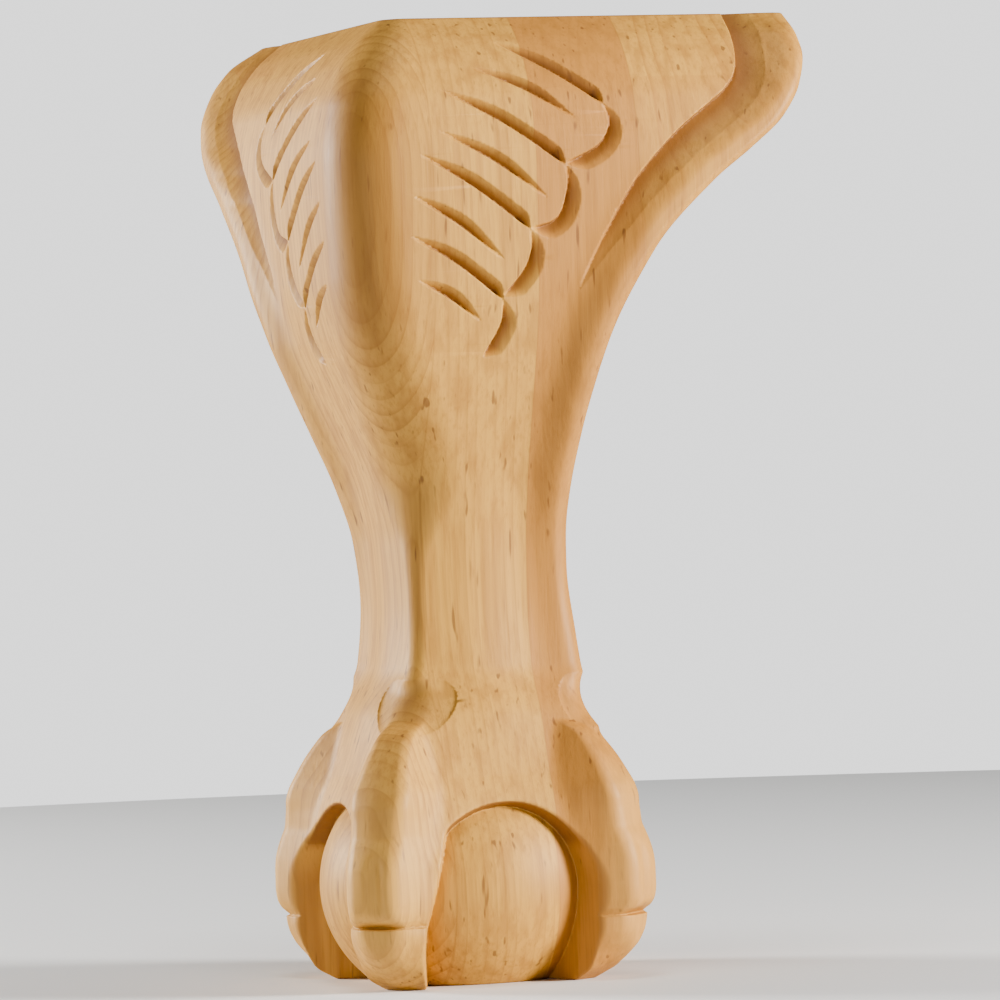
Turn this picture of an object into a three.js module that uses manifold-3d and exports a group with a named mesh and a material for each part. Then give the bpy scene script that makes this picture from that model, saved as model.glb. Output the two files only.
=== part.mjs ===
// Claw and ball foot: a carved hardwood cabinet foot with a cabriole knee, two wings
// and a claw that grips a ball.
// It is glued up from square boards and carved as one piece, so it is one solid.
// Millimetres, +Z up. The origin is on the floor at the centre of the ball.
// The knee points along -X -Y. One wing runs along +X and shows its face to -Y.
// The other wing is its mirror across x = y.
import * as THREE from "three";
import { mergeVertices } from "three/addons/utils/BufferGeometryUtils.js";
import Module from "manifold-3d";

// Overall sizes
const HEIGHT = 305;
const WING_REACH = 112; // from the ball's centre to the end of a wing
const WING_BACK = 0; // back face of a wing, from the ball's centre
const POST_BACK = 51.5; // the two plain back faces of the post, from the ball's centre

// Cabriole profile of the two show faces, as distances from the ball's centre
const TOP_FACE = 22.6;
const KNEE_FACE = 46.6;
const KNEE_DROP = 46; // the knee's fullest point, below the top
const ANKLE_FACE = 20.7;
const ANKLE_HEIGHT = 120;
const HOOD_FACE = 40.6; // the web between two toes, at the top of the arch
const ANKLE_BACK = 32.3; // the waist of the back faces
const WAIST_HEIGHT = 143;

// Each show face is hollowed, so its outer edge stands proud of its middle
const FACE_HOLLOW = 4.8;
const EDGE_FLAT = 5;
const EDGE_WIDTH = 7.5;

// At the ankle each show face swells a little and falls away to a crisp front corner
const ANKLE_SWELL = 1.8;
const SWELL_WIDTH = 14;
const CORNER_FALL = 1.4; // at the ankle's front corner

// Rounding of the edges
const TOP_ROUND = 8;
const KNEE_ROUND = 20;
const SHIN_ROUND = 24;
const ANKLE_ROUND = 4.5; // front corner of the ankle
const SIDE_ROUND = 6; // the ankle's other corners
const WING_EDGE_ROUND = 5;
const BACK_ROUND = 3;

// Ball
const BALL_RADIUS = 46;
const BALL_HALF_HEIGHT = 41;
const BALL_CENTRE = 31; // above the floor, so the ball stands on a flat

// Toes: radial distance of the crest at each height, along the diagonals
const TOE_TOP = 90;
const KNUCKLE_HEIGHT = 50; // the crease between the two bones of a toe
const NAIL_HEIGHT = 20.5; // the line where the nail starts
const NAIL_TIP_REACH = 47;
const NAIL_REACH = 61.6;
const TOE_PAD_REACH = 65.2; // the fullest point, between nail and knuckle
const KNUCKLE_REACH = 60.5;
const INSTEP_REACH = 34; // where the toe meets the ankle
const TOE_REACH_LIMIT = 54; // no part of a toe is further out from a side than this
const TOE_HALF_WIDTH = 9;
const NAIL_TIP_HALF_WIDTH = 1.5;
const FLANK_FLARE = 0.52; // how much a toe widens inwards for each millimetre, beside the ball
const WEB_FLARE = 0.3; // and above it
const TOE_ROUND = 4;

// Arched windows between the toes, in which the ball shows
const ARCH_HEIGHT = 57.5; // top of the arch on the web's face
const ARCH_HALF_WIDTH = 22; // towards the front or back toe
const ARCH_FOOT_HALF_WIDTH = 27; // the same, at the floor
const ARCH_FLARE = 0.45; // how far the arch opens for each millimetre outwards
const TOE_LIP = 46.2; // where a toe's side turns from the window to the show face
const TOE_SIDE_FLARE = 3.2; // the slope of the toe's side outside that lip
const SIDE_TOE_HALF_WIDTH = 29; // towards a side toe, which is cut back further, at the lip
const SIDE_TOE_FLARE = 0.85;

// Small cuts on the toes
const NAIL_NOTCH_DEPTH = 1.8;
const NAIL_NOTCH_RISE = 5;
const NAIL_NOTCH_HALF_WIDTH = 10;
const SADDLE_HEIGHT = 88; // the hollow cut round the top of a toe
const SADDLE_HALF_RISE = 8.6;
const SADDLE_DEPTH = 2.1;
const SADDLE_REACH = 18.5; // how far it runs along a face from the front or back corner
const SADDLE_SIDE_REACH = 12; // and from a side corner

// Carving on the show faces, as [distance along the face, drop below the top]
const FEATHER_DEPTH = 2.1;
const FEATHER_WIDTH = 3.8;
const FEATHER_SHARE = 0.97; // a feather's cut stops just short of its scallop
const SCALLOP_DEPTH = 2.3;
const SCALLOP_WIDTH = 4.6;
const FEATHERS = [
  { root: [8.7, 8], tip: [41.6, 29], quill: [[-0.1, 16.6], [31.7, 33.4]], belly: [46.7, 41.5] },
  { root: [-11.7, 23.6], tip: [27.4, 48], quill: [[-13.4, 36.8], [21.3, 58.3]], belly: [32.6, 61] },
  { root: [-20.4, 43.9], tip: [15.3, 68], quill: [[-23.1, 56.7], [6.4, 77.3]], belly: [19, 77] },
  { root: [-24.2, 69.2], tip: [6, 89.7], quill: [[-21.9, 83.1], [-1.1, 96.3]], belly: [7.7, 97.7] },
];
const LAST_SCALLOP_END = [0.2, 107.7];

// The groove that sets off the rolled band, as [inset from the wing's edge, drop below the top]
const BAND_GROOVE = [
  [21, -4], [21, 0], [21.8, 12], [21.7, 20.2], [27.3, 30],
  [31, 39.5], [26.7, 52.5], [20.6, 67], [18.8, 78.1], [17.7, 88.3],
];
const BAND_DEPTH = 2.6;
const BAND_WIDTH = 8.5;

// How finely the surface is drawn
const RAY_START = 2 * WING_REACH;
const RAY_STEP_LEAST = 0.02;
const GOUGE_STATIONS = 6;
const BAND_STATIONS = 11;
const OUTSIDE = 3; // how far a cutting tool stands out of the wood

const wasm = await Module();
wasm.setup();

const mix = (a, b, t) => a + (b - a) * t;
const clamp01 = (t) => Math.min(1, Math.max(0, t));
const smoothstep = (a, b, v) => {
  const t = clamp01((v - a) / (b - a));
  return t * t * (3 - 2 * t);
};

// A smooth curve through [at, value] knots that never overshoots them (monotone cubic).
function profile(knots) {
  const slope = knots.slice(1).map((k, i) => (k[1] - knots[i][1]) / (k[0] - knots[i][0]));
  const tangent = knots.map((_, i) => {
    if (i === 0) return slope[0];
    if (i === knots.length - 1) return slope[i - 1];
    const [before, after] = [slope[i - 1], slope[i]];
    return before * after <= 0 ? 0 : (2 * before * after) / (before + after);
  });
  return (at) => {
    if (at <= knots[0][0]) return knots[0][1];
    const i = knots.findIndex((k) => at < k[0]);
    if (i < 0) return knots[knots.length - 1][1];
    const [[x0, y0], [x1, y1]] = [knots[i - 1], knots[i]];
    const h = x1 - x0;
    const t = (at - x0) / h;
    return (
      y0 * (1 + 2 * t) * (1 - t) ** 2 +
      tangent[i - 1] * h * t * (1 - t) ** 2 +
      y1 * t * t * (3 - 2 * t) +
      tangent[i] * h * t * t * (t - 1)
    );
  };
}

// Points between two [at, value] ends, as [share of the way, share of the change].
const between = ([z0, v0], [z1, v1], shares) => shares.map(([s, v]) => [mix(z0, z1, s), mix(v0, v1, v)]);

const KNEE = [HEIGHT - KNEE_DROP, KNEE_FACE];
const ANKLE = [ANKLE_HEIGHT, ANKLE_FACE];
const HOOD = [ARCH_HEIGHT, HOOD_FACE];
const TOP = [HEIGHT, TOP_FACE];
const WAIST = [WAIST_HEIGHT, ANKLE_BACK];
const WING_TIP = [HEIGHT - 12, WING_REACH];
const WEB_FACE = BALL_RADIUS + 0.5; // before the windows are cut, the web covers the ball
const WEB = [
  [0, WEB_FACE],
  [ARCH_HEIGHT - 20, WEB_FACE],
  [ARCH_HEIGHT - 12, mix(HOOD_FACE, WEB_FACE, 0.55)],
  HOOD,
];

const faceAt = profile([
  ...WEB,
  ...between(HOOD, ANKLE, [[0.175, 0.22], [0.43, 0.51], [0.7, 0.92]]),
  ANKLE,
  ...between(
    ANKLE,
    KNEE,
    [[0.14, 0.03], [0.26, 0.16], [0.39, 0.4], [0.51, 0.63], [0.62, 0.82], [0.75, 0.94]],
  ),
  KNEE,
  ...between(KNEE, TOP, [[0.4, 0.12], [0.65, 0.34], [0.83, 0.61]]),
  TOP,
]);
const backAt = profile([
  ...WEB,
  ...between(HOOD, WAIST, [[0.38, 0.45], [0.62, 0.69], [0.85, 0.96]]),
  WAIST,
  ...between(WAIST, WING_TIP, [
    [0.18, 0.03], [0.38, 0.11], [0.58, 0.305], [0.72, 0.56], [0.785, 0.72], [0.85, 0.865], [0.92, 0.953],
  ]),
  WING_TIP,
]);
const frontRoundAt = profile([
  [ANKLE_HEIGHT, ANKLE_ROUND],
  [mix(ANKLE_HEIGHT, KNEE[0], 0.1), ANKLE_ROUND],
  [mix(ANKLE_HEIGHT, KNEE[0], 0.27), mix(ANKLE_ROUND, SHIN_ROUND, 0.8)],
  [mix(ANKLE_HEIGHT, KNEE[0], 0.4), SHIN_ROUND],
  [mix(ANKLE_HEIGHT, KNEE[0], 0.62), KNEE_ROUND],
  [HEIGHT - 14, 0.9 * KNEE_ROUND],
  [HEIGHT, TOP_ROUND],
]);
const sideRoundAt = profile([
  [WAIST_HEIGHT + 20, SIDE_ROUND],
  [KNEE[0] - 40, WING_EDGE_ROUND],
]);
const hollowAt = profile([
  [ARCH_HEIGHT, 0],
  [ANKLE_HEIGHT, 0.28 * FACE_HOLLOW],
  [mix(ANKLE_HEIGHT, KNEE[0], 0.3), 0.9 * FACE_HOLLOW],
  [mix(ANKLE_HEIGHT, KNEE[0], 0.45), FACE_HOLLOW],
  [HEIGHT - 8, 0.92 * FACE_HOLLOW],
  [HEIGHT, 0.3 * FACE_HOLLOW],
]);
const swellAt = profile([
  [ARCH_HEIGHT + 8, 0],
  [TOE_TOP + 4, 1],
  [ANKLE_HEIGHT + 20, 1],
  [mix(ANKLE_HEIGHT, KNEE[0], 0.42), 0],
]);
const NAIL_TIP = [0, NAIL_TIP_REACH];
const NAIL_TOP = [NAIL_HEIGHT, NAIL_REACH];
const PAD = [mix(NAIL_HEIGHT, KNUCKLE_HEIGHT, 0.56), TOE_PAD_REACH];
const KNUCKLE = [KNUCKLE_HEIGHT, KNUCKLE_REACH];
const INSTEP = [TOE_TOP, INSTEP_REACH];
const toeReachAt = profile([
  NAIL_TIP,
  ...between(NAIL_TIP, NAIL_TOP, [[0.1, 0.4], [0.3, 0.74], [0.5, 0.88], [0.72, 0.97]]),
  NAIL_TOP,
  [mix(NAIL_HEIGHT, KNUCKLE_HEIGHT, 0.33), TOE_PAD_REACH],
  PAD,
  ...between(PAD, KNUCKLE, [[0.5, 0.45]]),
  KNUCKLE,
  [ARCH_HEIGHT, KNUCKLE_REACH - 0.2],
  ...between(
    [ARCH_HEIGHT, KNUCKLE_REACH],
    INSTEP,
    [[0.13, 0.06], [0.42, 0.26], [0.68, 0.5], [0.78, 0.66]],
  ),
  INSTEP,
  [TOE_TOP + 6, INSTEP_REACH / 2],
]);
const besideToeAt = profile([
  [0, 16],
  [NAIL_HEIGHT - 5, 12],
  [ARCH_HEIGHT - 20, 0.5],
]);
const toeFlareAt = profile([
  [0, FLANK_FLARE],
  [ARCH_HEIGHT - 20, FLANK_FLARE],
  [ARCH_HEIGHT, WEB_FLARE],
  [TOE_TOP, WEB_FLARE],
]);
const toeHalfWidthAt = profile([
  [0, NAIL_TIP_HALF_WIDTH],
  [NAIL_HEIGHT, TOE_HALF_WIDTH],
  [ARCH_HEIGHT, TOE_HALF_WIDTH + 1],
  [TOE_TOP - 14, 0.7 * TOE_HALF_WIDTH],
]);

// Signed distances below are negative inside the wood.

// How far a show face stands out at a distance along it.
function faceOut(along, z) {
  const rise = backAt(z + 1) - backAt(z - 1);
  const fromEdge = Math.max(0, (backAt(z) - along) / Math.hypot(1, rise / 2) - EDGE_FLAT);
  const edge = Math.exp(-((fromEdge / EDGE_WIDTH) ** 2));
  const toCorner = clamp01(-along / ANKLE_FACE);
  const swell = ANKLE_SWELL * Math.exp(-((along / SWELL_WIDTH) ** 2)) - CORNER_FALL * toCorner ** 2;
  return faceAt(z) + hollowAt(z) * edge + swellAt(z) * swell;
}

// The overlap of two half spaces, with its edge rounded to a radius.
function roundedEdge(a, b, radius) {
  const outA = Math.max(a + radius, 0);
  const outB = Math.max(b + radius, 0);
  return Math.min(Math.max(a, b), -radius) + Math.hypot(outA, outB);
}

// Depth of the hollow round a toe's top, at a distance from the ankle's corner along a face.
function saddleDepth(fromCorner, z, reach) {
  const rise = (z - SADDLE_HEIGHT) / SADDLE_HALF_RISE;
  const end = Math.max(0, fromCorner / reach - 0.45) / 0.55;
  const share = clamp01(1 - rise * rise - end * end);
  return SADDLE_DEPTH * share ** Math.max(0.5, 1.2 - 0.7 * end);
}

// The same for a whole face, which runs from the front or back corner to a side corner.
function cutRoundToes(along, z) {
  const fromFront = saddleDepth(along + faceAt(z), z, SADDLE_REACH);
  const fromSide = saddleDepth(backAt(z) - along, z, SADDLE_SIDE_REACH);
  return Math.max(fromFront, fromSide);
}

// The post and shin: a square section with show faces at -X and -Y.
function shin(x, y, z) {
  const back = Math.min(backAt(z), POST_BACK);
  const acrossX = (x < 0 ? -x - faceOut(y, z) : x - back) + cutRoundToes(y, z);
  const acrossY = (y < 0 ? -y - faceOut(x, z) : y - back) + cutRoundToes(x, z);
  const front = x < 0 && y < 0;
  const rear = x > 0 && y > 0;
  const beside = (Math.abs(x) + Math.abs(y)) * Math.SQRT1_2 - toeReachAt(z) + besideToeAt(z);
  const sideRound = rear ? Math.max(BACK_ROUND, sideRoundAt(z) - 1) : sideRoundAt(z);
  const radius = front ? frontRoundAt(z) : sideRound;
  const square = roundedEdge(acrossX, acrossY, radius);
  return z < ARCH_HEIGHT ? Math.max(square, beside) : square;
}

// The wing along +X. The other wing is this one with x and y exchanged.
function wing(x, y, z) {
  const outline = Math.max(x - backAt(z), -x);
  const front = roundedEdge(outline, -y - faceOut(x, z), WING_EDGE_ROUND);
  return Math.max(front, roundedEdge(outline, y - WING_BACK, BACK_ROUND));
}

// Four toes along the diagonals, each with a flat crest and flanks that spread towards the ball.
function toes(x, y, z) {
  const out = (Math.abs(x) + Math.abs(y)) * Math.SQRT1_2;
  const aside = Math.abs(Math.abs(x) - Math.abs(y)) * Math.SQRT1_2;
  const reach = toeReachAt(z);
  const flare = toeFlareAt(z);
  const flank = (aside - toeHalfWidthAt(z) - flare * (reach - TOE_ROUND / 2 - out)) / Math.hypot(1, flare);
  return roundedEdge(out - reach, flank, TOE_ROUND);
}

function bodyDistance(x, y, z) {
  if (z > WAIST_HEIGHT) return Math.min(shin(x, y, z), wing(x, y, z), wing(y, x, z));
  return Math.min(shin(x, y, z), toes(x, y, z));
}

// Merges a soup of triangles into a solid, whichever way round it was drawn.
function solidFrom(positions, index) {
  const geometry = new THREE.BufferGeometry();
  geometry.setAttribute("position", new THREE.Float32BufferAttribute(positions, 3));
  geometry.setIndex(index);
  const merged = mergeVertices(geometry, 1e-4);
  const vertProperties = merged.attributes.position.array;
  const build = (triangles) =>
    new wasm.Manifold(new wasm.Mesh({ numProp: 3, vertProperties, triVerts: new Uint32Array(triangles) }));
  const triangles = Array.from(merged.index.array);
  const solid = build(triangles);
  return solid.volume() > 0 ? solid : build(triangles.reverse());
}

// Joins closed rings of points into a solid, with a fan on the first and last ring.
function loft(rings, firstCentre, lastCentre) {
  const positions = rings.flat(2);
  const count = rings[0].length;
  const index = [];
  for (let j = 0; j + 1 < rings.length; j++)
    for (let i = 0; i < count; i++) {
      const [a, b] = [j * count + i, j * count + ((i + 1) % count)];
      index.push(a, b, b + count, a, b + count, a + count);
    }
  const low = rings.length * count;
  positions.push(...firstCentre, ...lastCentre);
  for (let i = 0; i < count; i++) {
    index.push(low, (i + 1) % count, i);
    index.push(low + 1, low - count + i, low - count + ((i + 1) % count));
  }
  return solidFrom(positions, index);
}

// The middle of each section, from which the outline is found by looking outwards.
const sectionCentreAt = profile([
  [ARCH_HEIGHT, 0],
  [ANKLE_HEIGHT, (ANKLE_BACK - ANKLE_FACE) / 2],
  [KNEE[0] - 40, -(TOP_FACE - WING_BACK) / 2],
]);

// Half of the outline's directions, from the knee's ridge round to the back, at one height.
const FOOT_FAN = [0, 4, 8, 12.5, 18, 24, 31, 38]; // degrees from a toe to the middle of a window
const FACE_SHARES = [
  0, 0.016, 0.036, 0.06, 0.09, 0.13, 0.18, 0.24, 0.31, 0.39, 0.48, 0.58, 0.68, 0.78, 0.87, 0.95,
];
const END_SHARES = [0, 0.1, 0.4, 0.7, 1]; // up the wing's end
const WING_BACK_SHARES = [0.08, 0.35, 0.65, 1]; // along the wing's back to the post
const POST_SHARES = [0.1, 0.25, 0.4, 0.55, 0.7, 0.85, 0.95]; // along the post's back face
function directionsAt(z) {
  const quarter = [...FOOT_FAN, 45, ...FOOT_FAN.slice(1).reverse().map((a) => 90 - a)];
  const foot = [...quarter.map((a) => a - 135), ...quarter.map((a) => a - 45), 45];
  const [face, back, centre] = [faceAt(z), backAt(z), sectionCentreAt(z)];
  const post = Math.min(back, POST_BACK);
  const targets = [
    ...FACE_SHARES.map((s) => [mix(-face, back, s), -face]),
    ...END_SHARES.map((s) => [back, mix(-face, WING_BACK, s)]),
    ...WING_BACK_SHARES.map((s) => [mix(back, post, s), WING_BACK]),
    ...POST_SHARES.map((s) => [post, mix(WING_BACK, post, s)]),
    [post, post],
  ];
  const share = smoothstep(ANKLE_HEIGHT + 10, KNEE[0] - 5, z);
  return targets.map(([x, y], i) => {
    const round = THREE.MathUtils.degToRad(foot[i]);
    return mix(round, Math.atan2(y - centre, x - centre), share);
  });
}

// Looks inwards along a direction until it meets the wood.
function outlinePoint(centre, angle, z) {
  const [dx, dy] = [Math.cos(angle), Math.sin(angle)];
  const at = (t) => bodyDistance(centre + dx * t, centre + dy * t, z);
  let far = RAY_START;
  let near = far;
  while (at(near) > 0 && near > 0) {
    far = near;
    near -= Math.max(at(near) * 0.7, RAY_STEP_LEAST);
  }
  for (let k = 0; k < 20; k++) {
    const middle = (near + far) / 2;
    if (at(middle) > 0) far = middle;
    else near = middle;
  }
  return [centre + dx * near, centre + dy * near, z];
}

function ring(z) {
  const centre = sectionCentreAt(z);
  const half = directionsAt(z).map((angle) => outlinePoint(centre, angle, z));
  const mirrored = half.slice(1, -1).reverse().map(([x, y, h]) => [y, x, h]);
  return [...half, ...mirrored];
}

// Heights at which the section is drawn, close together where the toes and the knee turn quickly.
function sectionHeights() {
  const stretches = [
    [0, NAIL_HEIGHT, [0, 0.08, 0.2, 0.36, 0.55, 0.78]],
    [NAIL_HEIGHT, KNUCKLE_HEIGHT, [0, 0.12, 0.28, 0.45, 0.62, 0.8]],
    [KNUCKLE_HEIGHT, ARCH_HEIGHT, [0, 0.5]],
    [ARCH_HEIGHT, TOE_TOP, [0, 0.12, 0.24, 0.38, 0.52, 0.64, 0.74, 0.83, 0.92]],
    [TOE_TOP, ANKLE_HEIGHT, [0, 0.1, 0.21, 0.4, 0.7]],
    [ANKLE_HEIGHT, KNEE[0], [0, 0.09, 0.18, 0.27, 0.36, 0.45, 0.54, 0.62, 0.7, 0.77, 0.84, 0.92]],
    [KNEE[0], HEIGHT, [0, 0.15, 0.3, 0.45, 0.58, 0.7, 0.81, 0.91, 1]],
  ];
  return stretches.flatMap(([low, high, shares]) => shares.map((s) => mix(low, high, s)));
}

function bodySolid() {
  const heights = sectionHeights();
  const [low, high] = [sectionCentreAt(0), sectionCentreAt(HEIGHT)];
  return loft(heights.map(ring), [low, low, 0], [high, high, HEIGHT]);
}

// The ball as an egg-shaped solid, for the windows to be cut around.
function ballSolid() {
  const geometry = new THREE.SphereGeometry(1, 36, 20);
  geometry.rotateX(Math.PI / 2);
  geometry.scale(BALL_RADIUS, BALL_RADIUS, BALL_HALF_HEIGHT);
  geometry.translate(0, 0, BALL_CENTRE);
  geometry.deleteAttribute("normal");
  geometry.deleteAttribute("uv");
  const merged = mergeVertices(geometry, 1e-4);
  return solidFrom(Array.from(merged.attributes.position.array), Array.from(merged.index.array));
}

// One arched window on the -Y side, open outwards and to the floor. It also shapes the sides of the toes.
// Its -X side meets the front toe, and its +X side meets a side toe.
function windowTool() {
  const archRise = ARCH_HEIGHT - BALL_CENTRE;
  const openingAt = (out) => ARCH_FLARE * (out - HOOD_FACE);
  const sideToeAt = (out) => SIDE_TOE_HALF_WIDTH + SIDE_TOE_FLARE * (out - TOE_LIP);
  const outline = (out, opening) => {
    const points = [];
    for (let k = 0; k <= 14; k++) {
      const a = (Math.PI * k) / 14;
      const halfWidth = 2 * k < 14 ? sideToeAt(out) : ARCH_HALF_WIDTH + opening;
      points.push([halfWidth * Math.cos(a), -out, BALL_CENTRE + (archRise + opening) * Math.sin(a)]);
    }
    points.push([-ARCH_FOOT_HALF_WIDTH - opening, -out, -OUTSIDE]);
    points.push([sideToeAt(out), -out, -OUTSIDE]);
    return points;
  };
  const [inner, outer] = [BALL_RADIUS - 20, TOE_REACH_LIMIT];
  const lip = openingAt(TOE_LIP);
  const rings = [
    outline(inner, openingAt(inner)),
    outline(TOE_LIP, lip),
    outline(outer, lip + TOE_SIDE_FLARE * (outer - TOE_LIP)),
  ];
  return loft(rings, [0, -inner, BALL_CENTRE], [0, -outer, BALL_CENTRE]);
}

// The lens-shaped notch above a nail, on the toe that points along -X -Y.
function nailNotchTool() {
  const at = (out, aside, z) => [(-out + aside) * Math.SQRT1_2, (-out - aside) * Math.SQRT1_2, z];
  const rings = [-1, -0.75, -0.4, 0, 0.4, 0.75, 1].map((s) => {
    const fade = 1 - s * s;
    const aside = s * NAIL_NOTCH_HALF_WIDTH;
    const floor = toeReachAt(NAIL_HEIGHT) - aside * aside * 0.03 + 0.4 - NAIL_NOTCH_DEPTH * fade;
    const rise = NAIL_NOTCH_RISE * fade + 0.2;
    const run = toeReachAt(NAIL_HEIGHT + rise) - toeReachAt(NAIL_HEIGHT) + NAIL_NOTCH_DEPTH * fade + 0.1;
    const outside = NAIL_NOTCH_DEPTH + OUTSIDE;
    return [
      at(floor, aside, NAIL_HEIGHT),
      at(floor + outside, aside, NAIL_HEIGHT - 0.4),
      at(floor + outside, aside, NAIL_HEIGHT + Math.min((rise * outside) / run, 2 * rise + 1)),
    ];
  });
  const middleOf = (r) => [0, 1, 2].map((c) => (r[0][c] + r[1][c] + r[2][c]) / 3);
  return loft(rings, middleOf(rings[0]), middleOf(rings[rings.length - 1]));
}

// A point of the -Y face at [along, drop], raised out of the wood by lift, and the face's normal there.
function facePoint([along, drop], lift) {
  const z = HEIGHT - drop;
  const step = 0.5;
  const slopeZ = (faceOut(along, z + step) - faceOut(along, z - step)) / (2 * step);
  const slopeX = (faceOut(along + step, z) - faceOut(along - step, z)) / (2 * step);
  const normal = new THREE.Vector3(-slopeX, -1, -slopeZ).normalize();
  return new THREE.Vector3(along, -faceOut(along, z), z).addScaledVector(normal, lift);
}

// A cut's share of its full depth at a distance from one of its ends.
const swellOver = (t, length) => (length ? Math.sin((Math.min(t / length, 1) * Math.PI) / 2) : 1);

// A relief cut along a curve on the -Y face: a steep wall on the curve,
// and a ramp on its left that rises to the surface.
function gougeTool(points, depth, width, fadeIn, fadeOut, stations = GOUGE_STATIONS) {
  const curve = new THREE.SplineCurve(points.map(([a, d]) => new THREE.Vector2(a, d)));
  const rings = [];
  for (let k = 0; k <= stations; k++) {
    const t = k / stations;
    const size = Math.max(0.04, Math.min(swellOver(t, fadeIn), swellOver(1 - t, fadeOut)));
    const p = curve.getPointAt(t);
    const heading = curve.getTangentAt(t);
    const aside = [heading.y, -heading.x];
    const reach = (width * size * (depth * size + OUTSIDE)) / (depth * size);
    const rampTop = [p.x + aside[0] * width * size, p.y + aside[1] * width * size];
    const floor = facePoint([p.x, p.y], -depth * size);
    const wallTop = facePoint([p.x, p.y], OUTSIDE);
    const surface = facePoint(rampTop, 0);
    const longer = Math.min(reach / (width * size), 3);
    const rampOut = floor.clone().lerp(surface, longer);
    rings.push([floor.toArray(), wallTop.toArray(), rampOut.toArray()]);
  }
  const middleOf = (r) => [0, 1, 2].map((c) => (r[0][c] + r[1][c] + r[2][c]) / 3);
  return loft(rings, middleOf(rings[0]), middleOf(rings[rings.length - 1]));
}

function featherTools() {
  const tools = [];
  FEATHERS.forEach((feather, i) => {
    const nextTip = i + 1 < FEATHERS.length ? FEATHERS[i + 1].tip : LAST_SCALLOP_END;
    const end = [0, 1].map((c) => mix(feather.root[c], feather.tip[c], FEATHER_SHARE));
    tools.push(gougeTool([feather.root, end], FEATHER_DEPTH, FEATHER_WIDTH, 0.6, 0));
    tools.push(gougeTool(feather.quill, FEATHER_DEPTH, FEATHER_WIDTH, 0.5, 0.6));
    const scallop = new THREE.QuadraticBezierCurve(
      new THREE.Vector2(...feather.tip),
      new THREE.Vector2(...feather.belly),
      new THREE.Vector2(...nextTip),
    );
    const edge = scallop.getPoints(8).map((p) => p.toArray());
    tools.push(gougeTool(edge, SCALLOP_DEPTH, SCALLOP_WIDTH, 0.3, 0.4));
  });
  return tools;
}

// The band's groove, which keeps its distance from the wing's edge.
function bandTool() {
  const points = BAND_GROOVE.map(([inset, drop]) => [backAt(HEIGHT - drop) - inset, drop]);
  return gougeTool(points, BAND_DEPTH, BAND_WIDTH, 0, 0.7, BAND_STATIONS);
}

// Copies of a tool made for the -Y side: mirrored across x = y for the other show face,
// or turned round the ball.
const exchangeXY = [0, 1, 0, 0, 1, 0, 0, 0, 0, 0, 1, 0, 0, 0, 0, 1];
const onBothFaces = (tool) => [tool, tool.transform(exchangeXY)];
const roundTheBall = (tool) => [0, 90, 180, 270].map((turn) => tool.rotate([0, 0, turn]));
const frontAndBack = (tool) => [tool, tool.rotate([0, 0, 180])];

function carvedSolid() {
  let solid = bodySolid();
  const ball = ballSolid();
  const faceTools = [...featherTools(), bandTool()];
  const tools = [
    ...onBothFaces(windowTool().subtract(ball)).flatMap(frontAndBack),
    ...roundTheBall(nailNotchTool()),
    ...faceTools.flatMap(onBothFaces),
  ];
  for (const tool of tools) solid = solid.subtract(tool);
  return solid;
}

function geometryOf(solid) {
  const { numProp, vertProperties, triVerts } = solid.getMesh();
  const positions = [];
  for (let i = 0; i < vertProperties.length; i += numProp)
    positions.push(...vertProperties.slice(i, i + 3));
  const geometry = new THREE.BufferGeometry();
  geometry.setAttribute("position", new THREE.Float32BufferAttribute(positions, 3));
  geometry.setIndex(Array.from(triVerts));
  geometry.computeVertexNormals();
  return geometry;
}

const maple = new THREE.MeshStandardMaterial({ color: 0xd9b17c, roughness: 0.5, metalness: 0 });
const foot = new THREE.Mesh(geometryOf(carvedSolid()), maple);
foot.name = "claw_and_ball_foot";

const group = new THREE.Group();
group.add(foot);
export default group;
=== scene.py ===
"""Carves a claw and ball foot as one form, finishes it in bare maple and lights it in a plain studio."""

import math

import bpy
import numpy as np
from mathutils import Matrix, Vector


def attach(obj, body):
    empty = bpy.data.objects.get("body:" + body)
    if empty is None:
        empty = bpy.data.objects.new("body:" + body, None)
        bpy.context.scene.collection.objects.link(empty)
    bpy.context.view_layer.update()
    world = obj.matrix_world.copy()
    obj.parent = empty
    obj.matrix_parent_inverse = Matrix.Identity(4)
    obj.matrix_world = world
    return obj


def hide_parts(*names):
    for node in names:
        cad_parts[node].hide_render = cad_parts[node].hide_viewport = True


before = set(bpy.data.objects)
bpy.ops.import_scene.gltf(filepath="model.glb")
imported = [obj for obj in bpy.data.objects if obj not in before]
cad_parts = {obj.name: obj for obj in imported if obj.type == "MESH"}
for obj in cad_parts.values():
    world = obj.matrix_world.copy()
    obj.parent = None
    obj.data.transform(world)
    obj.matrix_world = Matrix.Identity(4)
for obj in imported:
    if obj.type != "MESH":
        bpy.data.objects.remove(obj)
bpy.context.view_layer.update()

bl_info = {
    "name": "Claw and Ball Foot",
    "version": (1, 0, 0),
    "blender": (4, 5, 0),
    "location": "3D View > Sidebar > Carving",
    "description": "Carves a maple claw and ball foot and sets it in a plain studio",
    "category": "Add Mesh",
}

MM = 0.001
SQRT_HALF = math.sqrt(0.5)
NODE = "claw_and_ball_foot"
SHADING_REACH = 0.12  # mm over which the surface's slope is measured for its shading
TRIANGLES = 192000  # in the finished foot
BATCH = 400000  # points worked out at a time

# Heights above the floor, in millimetres
NAIL_LINE = 20.6
ARCH_MIDDLE = 28.8
BALL_MIDDLE = 31
HOOD_EDGE = 57
SADDLE_MIDDLE = 88
SADDLE_FROM, SADDLE_TO = 79, 97
FOOT_TOP = 100
CUTS_FROM = 172
WINGS_FROM = 190

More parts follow.
